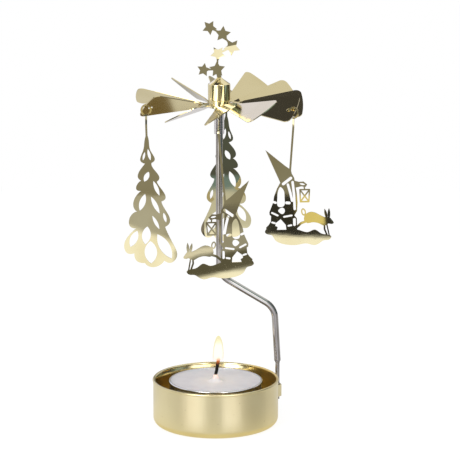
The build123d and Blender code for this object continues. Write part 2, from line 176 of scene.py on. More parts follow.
def colour_ramp(tree, share, stops):
    """A ramp node by share: each stop's position and its colour with the alpha."""
    made = put(tree, "ValToRGB", Fac=share)
    elements = made.color_ramp.elements
    while len(elements) < len(stops):
        elements.new(1.0)
    for element, (position, colour) in zip(elements, stops):
        element.position = position
        element.color = colour
    return made


def shades_round(tree, turn, shades):
    """Grey shades or colours by an angle, which each of them gives in degrees."""
    stops = []
    for angle, shade in shades:
        colour = shade if isinstance(shade, tuple) else (shade, shade, shade)
        stops.append((0.5 + angle / 360, (*colour, 1)))
    return colour_ramp(tree, scaled(tree, turn, gain=0.5 / pi, base=0.5), stops).outputs[0]


def grain(tree, place, scale, stretch=(1, 1, 1), detail=2.0):
    """Noise on a stretched copy of the place."""
    mapped = put(tree, "Mapping", Vector=place, Scale=stretch)
    noise = put(tree, "TexNoise", Vector=mapped.outputs[0], Scale=scale, Detail=detail)
    return noise.outputs[0]


def wall_grain(tree, place, around, upward, detail):
    """Noise laid round a drawn wall, by its scale round the axis and up the wall."""
    angle = put(tree, "TexGradient", {"gradient_type": "RADIAL"}, Vector=place).outputs["Fac"]
    height = along(tree, place, UP)
    laid = put(tree, "CombineXYZ", X=times(tree, angle, around), Y=times(tree, height, upward))
    return put(tree, "TexNoise", Vector=laid.outputs[0], Scale=1.0, Detail=detail).outputs[0]


def relief(tree, height, strength, depth, under=None):
    """A bumpy surface, on top of another one where that is given."""
    bump = put(tree, "Bump", Height=height, Strength=strength, Distance=depth)
    if under is not None:
        link(tree, under, bump.inputs["Normal"])
    return bump.outputs[0]


def finish_named(name):
    """A material with its tree, its shader and the object's own coordinates."""
    material = bpy.data.materials.new(name)
    material.use_nodes = True
    tree = material.node_tree
    shader = tree.nodes["Principled BSDF"]
    coordinates = put(tree, "TexCoord")
    return material, tree, shader, coordinates


def make_metal(tree, shader, tone, dull, surface):
    """Bare metal by its tone, its roughness and its surface."""
    shader.inputs["Metallic"].default_value = 1.0
    link(tree, tone, shader.inputs["Base Color"])
    link(tree, dull, shader.inputs["Roughness"])
    link(tree, surface, shader.inputs["Normal"])


def dress(node, material):
    """Gives a CAD node another material."""
    for slot in cad[node].material_slots:
        slot.link = "OBJECT"
        slot.material = material


# Tones of the finishes, two where one drifts into the other
FIGURE_TONES = (0.74, 0.67, 0.43, 1), (0.68, 0.60, 0.36, 1)
ROTOR_TONES = (0.68, 0.59, 0.35, 1), (0.64, 0.55, 0.31, 1)
HUB_TONES = (0.90, 0.80, 0.50, 1), (0.84, 0.73, 0.42, 1)
CUP_TONES = (0.78, 0.69, 0.42, 1), (0.72, 0.62, 0.36, 1)
# Painted shade inside the cup: darker at the left, lighter at the right
INSIDE_SHADE_TONES = (0.52, 0.37, 0.11, 1), (0.84, 0.62, 0.19, 1)
STEEL_TONES = (0.42, 0.395, 0.375, 1), (0.32, 0.295, 0.275, 1)
FOIL_TONES = (0.80, 0.80, 0.82, 1), (0.66, 0.66, 0.69, 1)
WAX_TONES = (0.73, 0.72, 0.755, 1), (0.68, 0.67, 0.71, 1)
CHAR_TONES = (0.002, 0.002, 0.002, 1), (0.012, 0.008, 0.006, 1)
SHEET_TARNISH = (0.24, 0.17, 0.07, 1)
CUT_EDGE = (0.42, 0.31, 0.13, 1)
CUP_TARNISH = (0.25, 0.17, 0.06, 1)
# Painted shade under the stem's slanted run, and painted highlight on top of it
STEEL_PAINTED_SHADE = (0.22, 0.20, 0.16, 1)
STEEL_PAINTED_HIGHLIGHT = (0.74, 0.72, 0.68, 1)
# Painted highlight on the tea light's rim bead
BEAD_PAINTED_HIGHLIGHT = (0.90, 0.90, 0.92, 1)
BEARING_TINT = (0.93, 0.92, 0.95, 1)
MELTED_WAX = (0.80, 0.775, 0.77, 1)
CLEAN_COTTON = (0.62, 0.52, 0.44, 1)
# Painted glow of the flame's light on the wax
WAX_GLOW = (1.0, 0.42, 0.20, 1)
EMBER_GLOW = (1.0, 0.22, 0.02, 1)

# Polished sheets: how smooth, how rough and how wavy each is
FIGURE_POLISH = 0.012, 0.034, 0.02
ROTOR_POLISH = 0.08, 0.13, 0.015
HUB_POLISH = 0.02, 0.06, 0.02

# What specks of tarnish and cut edges do to the tone and to the roughness
SPECK_STAIN, SPECK_DULL = 0.25, 0.12
EDGE_STAIN, EDGE_DULL = 0.6, 0.22
CUP_SPECK_STAIN = 0.35

# The star sheet's crease: the heights between which it falls, its slant toward the right and its depth
STAR_CREASE = 0.1512, 0.1553, 0.21, 0.0007

# How far the back tree's sheet tilts in what it mirrors
BACK_TILT = 0.125

# Inside the cup: the sheet, the end of the foot's curve, the flared lip and its soft edge
CUP_SHEET = 0.0006
FOOT_END = 0.0035
LIP_HEIGHT = 0.0034
LIP_FLARE = 0.00095
LIP_GLOSS = 0.15
SOFT_EDGE = 0.001

# Across the cup toward the right: where the flare runs out and where the painted shade inside turns
# lighter
FLARE_END = 0.010, 0.019
INSIDE_SHADE_TURN = -0.010, 0.015
INSIDE_SHADE_SHARE = 0.8

# The stem's slanted run, with a painted highlight on top and painted shade under it: from the axis toward
# the strap, and where the wire's upper side starts
HIGHLIGHT_RUN_START = 0.004, 0.008
HIGHLIGHT_RUN_END = 0.020, 0.025
UPPER_SIDE = -0.45, -0.05

# The tea light: the foil's bead, the wax melted round the wick, its crest with a painted glow of the
# flame's light, and the wick's two ends
FOIL_BEAD = 0.0018
MELTED_ROUND = 0.003, 0.010
MELTED_SHARE = 0.5
LIT_CREST = 0.0022
CLEAN_BELOW, CLEAN_ABOVE = 0.001, 0.0006
EMBER_LENGTH, EMBER_END = 0.0034, 0.0002


# Finishes

def polished_brass(name, tones, polish, cut_edges=False, tilt=0.0, crease=None):
    """Polished sheet with rolling marks and specks of tarnish, with duller cut edges where it has them."""
    material, tree, shader, coordinates = finish_named(name)
    place = coordinates.outputs["Object"]
    smooth, rough, ripple = polish
    drift = grain(tree, place, scale=70.0, detail=3.0)
    marks = grain(tree, place, scale=1.0, stretch=(260.0, 260.0, 9000.0), detail=1.0)
    waves = grain(tree, place, scale=110.0, detail=1.0)
    specks = fade(tree, grain(tree, place, scale=1300.0), 0.72, 0.78)
    tone = blend(tree, fade(tree, drift, 0.35, 0.70), *tones)
    tone = blend(tree, times(tree, specks, SPECK_STAIN), tone, SHEET_TARNISH)
    dull = scaled(tree, marks, gain=rough - smooth, base=smooth)
    dull = scaled(tree, specks, SPECK_DULL, dull)
    if cut_edges:
        facing = calc(tree, "ABSOLUTE", along(tree, coordinates.outputs["Normal"], SHEET_FACE))
        edge = fade_out(tree, facing, 0.5, 0.8)
        tone = blend(tree, times(tree, edge, EDGE_STAIN), tone, CUT_EDGE)
        dull = scaled(tree, edge, EDGE_DULL, dull)
    surface = relief(tree, waves, strength=ripple, depth=0.0006)
    if tilt:
        surface = relief(tree, along(tree, place, -TO_RIGHT), strength=1.0, depth=tilt, under=surface)
    if crease:
        foot, top, slant, depth = crease
        falling = rise(tree, along(tree, place, UP - slant * TO_RIGHT), foot, top)
        surface = relief(tree, falling, strength=1.0, depth=depth, under=surface)
    surface = relief(tree, marks, strength=0.008, depth=0.00005, under=surface)
    make_metal(tree, shader, tone, dull, surface)
    return material


def satin_brass(name):
    """The drawn cup: streaks and a frosted grain, with painted shade inside that turns lighter toward the
    right, and a glossy lip.
    """
    material, tree, shader, coordinates = finish_named(name)
    place = coordinates.outputs["Object"]
    height = along(tree, place, UP)
    beside = along(tree, place, TO_RIGHT)
    streaks = wall_grain(tree, place, around=90.0, upward=60.0, detail=3.0)
    frost = grain(tree, place, scale=2600.0, detail=3.0)
    drift = grain(tree, place, scale=45.0)
    specks = fade(tree, grain(tree, place, scale=700.0), 0.71, 0.77)
    inner_face = CUP_WALL - CUP_SHEET
    inner = fade_out(tree, from_axis(tree, place), inner_face, inner_face + CUP_SHEET / 3)
    inner = times(tree, inner, fade(tree, height, FOOT_END, FOOT_END + SOFT_EDGE))
    flared = times(tree, inner, fade_out(tree, beside, *FLARE_END))
    lip_foot = CUP_RIM - LIP_HEIGHT
    lip = times(tree, flared, fade(tree, height, lip_foot, lip_foot + SOFT_EDGE))
    # Painted shade on the inside wall below the lip, lighter toward the right
    inside_shade = times(tree, calc(tree, "SUBTRACT", inner, lip), INSIDE_SHADE_SHARE)
    tone = blend(tree, fade(tree, drift, 0.35, 0.70), *CUP_TONES)
    tone = blend(tree, times(tree, specks, CUP_SPECK_STAIN), tone, CUP_TARNISH)
    tone = blend(tree, inside_shade, tone, blend(tree, fade(tree, beside, *INSIDE_SHADE_TURN), *INSIDE_SHADE_TONES))
    dull = scaled(tree, streaks, gain=0.14, base=0.20)
    dull = scaled(tree, frost, gain=0.10, base=dull)
    dull = scaled(tree, lip, -LIP_GLOSS, dull)
    flare = fade(tree, height, lip_foot, CUP_RIM + SOFT_EDGE, start=0.0, end=-1.0)
    surface = relief(tree, times(tree, flare, flared), strength=1.0, depth=LIP_FLARE)
    surface = relief(tree, streaks, strength=0.12, depth=0.0004, under=surface)
    surface = relief(tree, frost, strength=0.06, depth=0.00008, under=surface)
    make_metal(tree, shader, tone, dull, surface)
    return material


def bright_steel(name):
    """Drawn wire with fine lines along it, with a painted highlight on top of the slanted run and painted
    shade under it.
    """
    material, tree, shader, coordinates = finish_named(name)
    place = coordinates.outputs["Object"]
    lines = grain(tree, place, scale=1.0, stretch=(5200.0, 5200.0, 60.0))
    drift = grain(tree, place, scale=160.0, detail=3.0)
    reach = along(tree, place, TO_STRAP)
    slanted_run = times(tree, fade(tree, reach, *HIGHLIGHT_RUN_START), fade_out(tree, reach, *HIGHLIGHT_RUN_END))
    upper = fade(tree, along(tree, coordinates.outputs["Normal"], UP), *UPPER_SIDE)
    # Painted highlight on the run's upper side, painted shade under it
    painted_highlight = times(tree, slanted_run, upper)
    painted_shade = times(tree, slanted_run, rest_of(tree, upper))
    tone = blend(tree, fade(tree, drift, 0.30, 0.75), *STEEL_TONES)
    tone = blend(tree, painted_shade, tone, STEEL_PAINTED_SHADE)
    tone = blend(tree, painted_highlight, tone, STEEL_PAINTED_HIGHLIGHT)
    lines = times(tree, lines, rest_of(tree, painted_highlight))
    dull = scaled(tree, lines, gain=0.08, base=0.06)
    make_metal(tree, shader, tone, dull, relief(tree, lines, strength=0.02, depth=0.00005))
    return material


def clear_glass(name):
    """Drawn glass tube with faint smears along it."""
    material, tree, shader, coordinates = finish_named(name)
    smears = grain(tree, coordinates.outputs["Object"], scale=900.0, stretch=(1, 1, 0.2))
    link(tree, scaled(tree, smears, gain=0.10, base=0.02), shader.inputs["Roughness"])
    shader.inputs["Base Color"].default_value = BEARING_TINT
    shader.inputs["Transmission Weight"].default_value = 1.0
    shader.inputs["IOR"].default_value = 1.47
    return material


def tea_light_foil(name, rim):
    """Thin drawn aluminium with faint upright crimps below a smooth bead that has a painted highlight."""
    material, tree, shader, coordinates = finish_named(name)
    place = coordinates.outputs["Object"]
    bead_foot = rim - FOIL_BEAD
    bead = fade(tree, along(tree, place, UP), bead_foot, bead_foot + SOFT_EDGE)
    crimps = wall_grain(tree, place, around=150.0, upward=90.0, detail=2.0)
    crimps = times(tree, crimps, rest_of(tree, bead))
    tone = blend(tree, crimps, *FOIL_TONES)
    # Painted highlight on the bead
    tone = blend(tree, bead, tone, BEAD_PAINTED_HIGHLIGHT)
    dull = scaled(tree, crimps, gain=0.20, base=0.16)
    make_metal(tree, shader, tone, dull, relief(tree, crimps, strength=0.25, depth=0.0004))
    return material


def candle_wax(name):
    """Milky paraffin, paler and glossier where it melts round the wick, with a painted glow of the flame's
    light at its crest.
    """
    material, tree, shader, coordinates = finish_named(name)
    place = coordinates.outputs["Object"]
    melted = fade_out(tree, from_axis(tree, place), *MELTED_ROUND)
    clouds = grain(tree, place, scale=240.0, detail=4.0)
    tone = blend(tree, fade(tree, clouds, 0.30, 0.70), *WAX_TONES)
    tone = blend(tree, times(tree, melted, MELTED_SHARE), tone, MELTED_WAX)
    link(tree, tone, shader.inputs["Base Color"])
    dull = scaled(tree, melted, gain=-0.14, base=0.42)
    link(tree, scaled(tree, clouds, gain=0.12, base=dull), shader.inputs["Roughness"])
    shader.inputs["Subsurface Weight"].default_value = 0.5
    shader.inputs["Subsurface Radius"].default_value = (1.0, 0.8, 0.7)
    shader.inputs["Subsurface Scale"].default_value = 0.002
    # Painted glow of the flame's light, rising toward the wax's crest
    glow = fade(tree, along(tree, place, UP), WAX_CREST - LIT_CREST, WAX_CREST, start=0.0, end=0.5)
    shader.inputs["Emission Color"].default_value = WAX_GLOW
    link(tree, glow, shader.inputs["Emission Strength"])
    link(tree, relief(tree, clouds, strength=0.12, depth=0.0004), shader.inputs["Normal"])
    return material


def burnt_wick(name):
    """Charred cotton with a glowing tip, clean where it leaves the wax."""
    material, tree, shader, coordinates = finish_named(name)
    place = coordinates.outputs["Object"]
    height = along(tree, place, UP)
    char = grain(tree, place, scale=1800.0, detail=3.0)
    clean = fade_out(tree, height, WAX_CREST - CLEAN_BELOW, WAX_CREST + CLEAN_ABOVE)
    tone = blend(tree, char, *CHAR_TONES)
    link(tree, blend(tree, clean, tone, CLEAN_COTTON), shader.inputs["Base Color"])
    link(tree, scaled(tree, char, gain=0.30, base=0.65), shader.inputs["Roughness"])
    shader.inputs["Specular IOR Level"].default_value = 0.08
    glowing = fade(tree, height, WICK_TIP.z - EMBER_LENGTH, WICK_TIP.z - EMBER_END, start=0.0, end=1.5)
    uneven = calc(tree, "ADD", char, 0.15)
    shader.inputs["Emission Color"].default_value = EMBER_GLOW
    link(tree, times(tree, glowing, uneven), shader.inputs["Emission Strength"])
    link(tree, relief(tree, char, strength=0.5, depth=0.0003), shader.inputs["Normal"])
    return material


def flame_glow(name, foot, tip, glow):
    """Burning gas: colours from foot to tip, each with the share of what lies behind that it covers."""
    material, tree, shader, coordinates = finish_named(name)
    place = coordinates.outputs["Object"]
    flicker = grain(tree, place, scale=260.0, stretch=(1, 1, 0.25))
    stops = [(position, (*colour, cover)) for position, colour, cover in glow]
    colours = colour_ramp(tree, rise(tree, along(tree, place, UP), foot, tip), stops)
    shader.inputs["Base Color"].default_value = (0, 0, 0, 1)
    shader.inputs["Roughness"].default_value = 1.0
    shader.inputs["Specular IOR Level"].default_value = 0.0
    link(tree, colours.outputs["Color"], shader.inputs["Emission Color"])
    shader.inputs["Emission Strength"].default_value = 1.0
    unsteady = scaled(tree, flicker, gain=0.30, base=0.85)
    veil = calc(tree, "MULTIPLY", unsteady, colours.outputs["Alpha"], clamp=True)
    link(tree, veil, shader.inputs["Alpha"])
    return material


figure_brass = polished_brass("figure_brass", FIGURE_TONES, FIGURE_POLISH, cut_edges=True)
back_brass = polished_brass("back_tree_brass", FIGURE_TONES, FIGURE_POLISH, cut_edges=True, tilt=BACK_TILT)
star_brass = polished_brass("star_brass", FIGURE_TONES, FIGURE_POLISH, cut_edges=True, crease=STAR_CREASE)
rotor_brass = polished_brass("rotor_brass", ROTOR_TONES, ROTOR_POLISH)
hub_brass = polished_brass("hub_brass", HUB_TONES, HUB_POLISH)

for figure in ("gnome_right", "gnome_front", "tree_left"):
    dress(figure, figure_brass)
dress("tree_back", back_brass)
dress("star_ornament", star_brass)
dress("rotor", rotor_brass)
dress("hub_cap", hub_brass)
dress("hub_bush", hub_brass)
dress("candle_cup", satin_brass("cup_brass"))
dress("stem", bright_steel("stem_steel"))
dress("bearing_tube", clear_glass("bearing_glass"))
dress("tealight_cup", tea_light_foil("tea_light_foil", FOIL_RIM))
dress("wick_sustainer", tea_light_foil("sustainer_foil", SUSTAINER_TOP))
dress("wax", candle_wax("candle_wax"))


# New pieces

def start_rings(name, sides, radius, place):
    """A filled ring at its place, in edit mode, from which a round piece grows."""
    bpy.ops.object.select_all(action="DESELECT")
    bpy.ops.mesh.primitive_circle_add(vertices=sides, radius=radius, fill_type="NGON", location=place)
    piece = bpy.context.object
    piece.name = name
    piece.data.name = name
    bpy.ops.object.mode_set(mode="EDIT")
    bpy.ops.mesh.select_all(action="SELECT")
    return piece


def grow_ring(step, spread, middle, twist=0.0):
    """Extrudes the end ring by a step, widens it and turns it about its middle."""
    bpy.ops.mesh.extrude_region_move(TRANSFORM_OT_translate={"value": step})
    bpy.ops.transform.resize(value=(spread, spread, 1), center_override=middle)
    if twist:
        bpy.ops.transform.rotate(value=twist, orient_axis="Z", center_override=middle)


def end_rings(piece, body, material):
    """Leaves edit mode with clean normals and a smooth surface, and puts the piece on its body."""
    bpy.ops.mesh.select_all(action="SELECT")
    bpy.ops.mesh.remove_doubles(threshold=0.00001)
    bpy.ops.mesh.normals_make_consistent(inside=False)
    bpy.ops.object.mode_set(mode="OBJECT")
    bpy.ops.object.shade_smooth()
    bpy.ops.object.transform_apply(location=True, rotation=True, scale=True)
    piece.data.materials.append(material)
    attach(piece, body)


# The wick's rings and strands, how its lean grows, and how much its last rings widen, from the tip down
WICK_RINGS = 58
WICK_STRANDS = 3
STRAND_SIDES = 8
STRAND_GROOVE = 0.72
STRAND_TWIST = radians(14)
LEAN_GROWTH = 0.8
BURNT_END = (0.55, 0.72, 1.12, 0.92, 1.06)


def twisted_wick():
    """Three twisted cotton strands through the wax, leaning above it and burnt ragged at the tip."""
    radius = (WICK_TIP.y - WICK_FOOT.y) / 2
    lean = WICK_TIP.x - radius
    ring_step = (WICK_TIP.z - WICK_FOOT.z) / WICK_RINGS
    foot = (0, 0, WICK_FOOT.z)
    piece = start_rings("twisted_wick", WICK_STRANDS * STRAND_SIDES, radius, foot)
    bpy.ops.mesh.select_all(action="DESELECT")
    bpy.ops.object.mode_set(mode="OBJECT")
    for corner in piece.data.vertices:
        corner.select = corner.index % STRAND_SIDES in (0, 1, STRAND_SIDES - 1)
    bpy.ops.object.mode_set(mode="EDIT")
    bpy.ops.transform.resize(value=(STRAND_GROOVE, STRAND_GROOVE, 1), center_override=foot)
    bpy.ops.mesh.select_all(action="SELECT")
    before = 0.0
    for ring in range(1, WICK_RINGS + 1):
        z = WICK_FOOT.z + ring_step * ring
        bent = max(0.0, (z - WAX_CREST) / (WICK_TIP.z - WAX_CREST))
        beside = lean * bent ** LEAN_GROWTH
        above = WICK_RINGS - ring
        spread = BURNT_END[above] if above < len(BURNT_END) else 1.0
        grow_ring((beside - before, 0, ring_step), spread, (beside, 0, z), STRAND_TWIST)
        before = beside
    end_rings(piece, "tea_light", burnt_wick("burnt_wick"))
    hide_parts("wick")


# The flame's rings, in millimetres: height above the wax's crest, radius and shift along the wick's lean
FLAME_SIDES = 28
OUTER_FLAME = [
    (0.4, 0.30, 0.5), (0.9, 1.00, 0.5), (1.8, 1.60, 0.6), (3.2, 2.05, 0.8), (5.0, 2.28, 0.9),
    (7.0, 2.32, 1.0), (9.2, 2.26, 1.1), (11.2, 2.05, 1.15), (12.7, 1.84, 1.2), (13.9, 1.56, 1.2),
    (14.9, 1.22, 1.2), (15.6, 0.90, 1.2), (16.1, 0.55, 1.2), (16.3, 0.20, 1.2),
]
INNER_FLAME = [
    (5.4, 0.20, 0.9), (6.0, 0.90, 0.95), (6.8, 1.50, 1.0), (8.0, 1.80, 1.05), (9.6, 1.80, 1.1),
    (11.0, 1.62, 1.15), (12.3, 1.40, 1.2), (13.4, 1.10, 1.2), (14.2, 0.76, 1.2), (14.7, 0.42, 1.2),
    (14.9, 0.14, 1.2),
]
OUTER_TIP = WAX_CREST + OUTER_FLAME[-1][0] * MM
INNER_FOOT = WAX_CREST + INNER_FLAME[0][0] * MM
INNER_TIP = WAX_CREST + INNER_FLAME[-1][0] * MM

# The flame's glow from foot to tip: the share of the height, the colour, and how much it covers
OUTER_GLOW = [
    (0.03, (0.40, 0.40, 0.44), 0.02), (0.33, (0.50, 0.45, 0.45), 0.025), (0.41, (1.0, 0.66, 0.42), 0.14),
    (0.48, (0.95, 0.76, 0.36), 0.26), (0.75, (0.86, 0.74, 0.24), 0.30), (1.0, (0.88, 0.76, 0.22), 0.42),
]
INNER_GLOW = [
    (0.0, (1.2, 0.80, 0.55), 0.10), (0.22, (1.4, 1.35, 1.20), 0.75), (0.75, (1.4, 1.38, 1.28), 0.85),
    (1.0, (1.2, 1.1, 0.80), 0.35),
]


def candle_flame(name, profile, material):
    """A teardrop of burning gas, grown ring by ring, that casts no shadow."""
    rings = [(WAX_CREST + height * MM, radius * MM, shift * MM) for height, radius, shift in profile]
    z, radius, beside = rings[0]
    piece = start_rings(name, FLAME_SIDES, radius, (beside, 0, z))
    for higher, wider, further in rings[1:]:
        grow_ring((further - beside, 0, higher - z), wider / radius, (further, 0, higher))
        z, radius, beside = higher, wider, further
    end_rings(piece, "tea_light", material)
    piece.visible_shadow = False


twisted_wick()
candle_flame("flame_outer", OUTER_FLAME, flame_glow("flame_outer_glow", WAX_CREST, OUTER_TIP, OUTER_GLOW))
candle_flame("flame_inner", INNER_FLAME, flame_glow("flame_inner_glow", INNER_FOOT, INNER_TIP, INNER_GLOW))


# Camera

def look_from_photograph():
    """The camera at the photograph's viewing angle."""
    target = AIM_HEIGHT * UP + AIM_RIGHT * TO_RIGHT
    back = cos(ELEVATION) * TO_CAMERA + sin(ELEVATION) * UP
    bpy.ops.object.camera_add(location=target + CAMERA_DISTANCE * back)
    camera = bpy.context.object
    camera.data.lens = CAMERA_LENS
    camera.data.sensor_width = CAMERA_SENSOR
    camera.data.clip_start = CAMERA_NEAR
    camera.rotation_mode = "QUATERNION"
    camera.rotation_quaternion = (-back).to_track_quat("-Z", "Y")
    scene.camera = camera


# Floor that the cup mirrors: degrees round its wall, from the camera toward the right, and shade
CUP_SHADES = [
    (-80, 0.92), (-56, 0.92), (-36, 0.74), (-6, 0.66), (4, 0.66),
    (25, 0.66), (33, 0.57), (48, 0.58), (60, 0.80), (80, 0.80),
]
CUP_LAMPS = [(-32, 0.0), (-26, 1.0), (-14, 1.0), (-7, 0.0), (4, 0.0), (8, 1.0), (20, 1.0), (26, 0.0)]
WARM_FLOOR = (0.98, 0.92, 0.70, 1)
FLOOR_AT_FOOT = (0.88, 0.80, 0.55, 1)
LAMP_LIGHT = (1.27, 1.28, 1.42, 1)

# Out from the cup's wall: where the warm floor, the floor at the foot and the lamps start and end
WARM_OUT = 0.0, 0.035
FOOT_OUT = 0.001, 0.005
LAMPS_START = 0.008, 0.024
LAMPS_DIMMED = 0.045, 0.085
WARM_SHARE = 0.5
DIMMED_SHARE = 0.65

# Floor before the figures: lit, then dark, in front of the axis, and parts beside it toward the right
LIT_FROM = 0.22, 0.29
DIM_FROM = 0.456, 0.474
PAST_LEFT = -0.034, -0.026
RIGHT_PART = 0.018, 0.030
LIT_FLOOR = (1.25, 1.25, 1.25, 1)
FLOOR_FOR_LEFT_TREE = (0.56, 0.56, 0.56, 1)
FLOOR_FOR_FRONT_COAT = (0.42, 0.42, 0.42, 1)
FLOOR_FOR_FRONT_LANTERN = (0.20, 0.19, 0.17, 1)
FLOOR_FOR_RIGHT_COAT = (0.042, 0.042, 0.042, 1)

# Where the dark floor starts: its slant at the left, its slant and step at the right, and its edge
DARK_FROM = 0.351
LEFT_SLANT = 1.5
RIGHT_SLANT = 0.3
RIGHT_STEP = 0.0645
DARK_EDGE = 0.011
CRISPER_RIGHT = 1.2

# Cards on the floor: from, to and soft edge, in two measures, and the colour that a piece mirrors
STRIPE_BESIDE, STRIPE_SLANTED = (-0.026, 0.026, 0.004), (0.335, 0.398, 0.013)
PALE_BESIDE, PALE_SLANTED = (-0.026, -0.001, 0.002), (0.398, 0.420, 0.005)
GOLDEN_BESIDE, GOLDEN_IN_FRONT = (0.0462, 0.0625, 0.001), (0.430, 0.560, 0.004)
BRONZE_BESIDE, BRONZE_IN_FRONT = (-0.010, 0.0162, 0.0016), (-0.088, -0.050, 0.002)
STRIPE_FOR_FRONT_SNOW = (0.13, 0.125, 0.10, 1)
PALE_FOR_FRONT_HARE = (0.95, 0.94, 0.95, 1)
GOLDEN_FOR_RIGHT_HARE = (0.94, 0.82, 0.36, 1)
BRONZE_FOR_LEFT_BLADE = (0.21, 0.155, 0.065, 1)

# Floor far at the right, which the tilted back tree mirrors: pale, then teal, then dark
BACK_TREE_BESIDE = 0.066, 0.070
BACK_TREE_FROM = 0.30, 0.33
TEAL_FROM = 0.418, 0.454
SHADED_FROM = 0.472, 0.492
PALE_FOR_BACK_TREE = (0.72, 0.73, 0.72, 1)
TEAL_FOR_BACK_TREE = (0.20, 0.30, 0.36, 1)
SHADE_FOR_BACK_TREE = (0.10, 0.11, 0.11, 1)

# Floor behind, which the blades mirror: where each shade starts and is full, and its colour
FLOOR_BEHIND = [
    (-0.02, -0.03, (0.84, 0.84, 0.84, 1)),
    (-0.15, -0.30, (0.74, 0.74, 0.80, 1)),
    (-0.47, -0.50, (0.36, 0.35, 0.31, 1)),
]

# The floor itself, and how much of it looks plain white
FLOOR_RADIUS = 0.53
FLOOR_SIDES = 96
FLOOR_DROP = 0.0002
FLOOR_GREY = (0.86, 0.86, 0.86, 1)
FLOOR_WHITE = 1.18
WHITE_SHARE = 0.72


# Floor

def floor_round_cup(tree, place, in_front, beside):
    """What the cup's wall mirrors: shades round it, a warm strip at its foot and two lamps."""
    reach = from_axis(tree, place)
    out = calc(tree, "SUBTRACT", reach, CUP_WALL)
    # At its foot the wall mirrors floor at its own angle, and far off at twice that angle
    doubling = calc(tree, "SUBTRACT", 2.0, calc(tree, "DIVIDE", CUP_WALL, reach))
    wall_angle = calc(tree, "DIVIDE", calc(tree, "ARCTAN2", beside, in_front), doubling)
    shade = shades_round(tree, wall_angle, CUP_SHADES)
    shade = blend(tree, fade(tree, out, *WARM_OUT, start=WARM_SHARE, end=0.0), shade, WARM_FLOOR)
    shade = blend(tree, fade_out(tree, out, *FOOT_OUT), shade, FLOOR_AT_FOOT)
    dimmed = fade(tree, out, *LAMPS_DIMMED, start=1.0, end=DIMMED_SHARE)
    lamps = times(tree, fade(tree, out, *LAMPS_START), dimmed)
    lamps = times(tree, lamps, shades_round(tree, wall_angle, CUP_LAMPS))
    return blend(tree, lamps, shade, LAMP_LIGHT)


def floor_for_figures(tree, shade, in_front, beside):
    """What the figures mirror: a lit stretch, then a dark one whose edge is slanted."""
    past_left = fade(tree, beside, *PAST_LEFT)
    right = fade(tree, beside, *RIGHT_PART)
    dark = blend(tree, past_left, FLOOR_FOR_LEFT_TREE, FLOOR_FOR_FRONT_COAT)
    dimmer = times(tree, past_left, fade(tree, in_front, *DIM_FROM))
    dark = blend(tree, dimmer, dark, FLOOR_FOR_FRONT_LANTERN)
    dark = blend(tree, right, dark, FLOOR_FOR_RIGHT_COAT)
    past_edge = scaled(tree, calc(tree, "MINIMUM", beside, 0.0), LEFT_SLANT, in_front)
    past_edge = calc(tree, "SUBTRACT", past_edge, DARK_FROM)
    past_edge = scaled(tree, right, scaled(tree, beside, RIGHT_SLANT, -RIGHT_STEP), past_edge)
    past_edge = times(tree, past_edge, scaled(tree, right, gain=CRISPER_RIGHT, base=1.0))
    shade = blend(tree, fade(tree, in_front, *LIT_FROM), shade, LIT_FLOOR)
    return blend(tree, fade(tree, past_edge, -DARK_EDGE, DARK_EDGE), shade, dark)


def lay_card(tree, shade, first, first_stretch, second, second_stretch, colour):
    """A card on the floor, where two measures both lie within their stretches."""
    share = times(tree, between(tree, first, *first_stretch), between(tree, second, *second_stretch))
    return blend(tree, share, shade, colour)


def floor_for_back_tree(tree, shade, in_front, beside):
    """What the back tree mirrors, far at the right."""
    tint = blend(tree, fade(tree, in_front, *TEAL_FROM), PALE_FOR_BACK_TREE, TEAL_FOR_BACK_TREE)
    tint = blend(tree, fade(tree, in_front, *SHADED_FROM), tint, SHADE_FOR_BACK_TREE)
    share = times(tree, fade(tree, beside, *BACK_TREE_BESIDE), fade(tree, in_front, *BACK_TREE_FROM))
    return blend(tree, share, shade, tint)


def mirrored_floor(tree, place):
    """The floor's colour in the metal, laid from the cup outward and then behind."""
    in_front = along(tree, place, TO_CAMERA)
    beside = along(tree, place, TO_RIGHT)
    slanted = calc(tree, "SUBTRACT", in_front, beside)
    shade = floor_round_cup(tree, place, in_front, beside)
    shade = floor_for_figures(tree, shade, in_front, beside)
    shade = lay_card(tree, shade, beside, STRIPE_BESIDE, slanted, STRIPE_SLANTED, STRIPE_FOR_FRONT_SNOW)
    shade = lay_card(tree, shade, beside, PALE_BESIDE, slanted, PALE_SLANTED, PALE_FOR_FRONT_HARE)
    shade = lay_card(tree, shade, beside, GOLDEN_BESIDE, in_front, GOLDEN_IN_FRONT, GOLDEN_FOR_RIGHT_HARE)
    shade = floor_for_back_tree(tree, shade, in_front, beside)
    for start, full, colour in FLOOR_BEHIND:
        shade = blend(tree, fade(tree, in_front, start, full), shade, colour)
    return lay_card(tree, shade, beside, BRONZE_BESIDE, in_front, BRONZE_IN_FRONT, BRONZE_FOR_LEFT_BLADE)


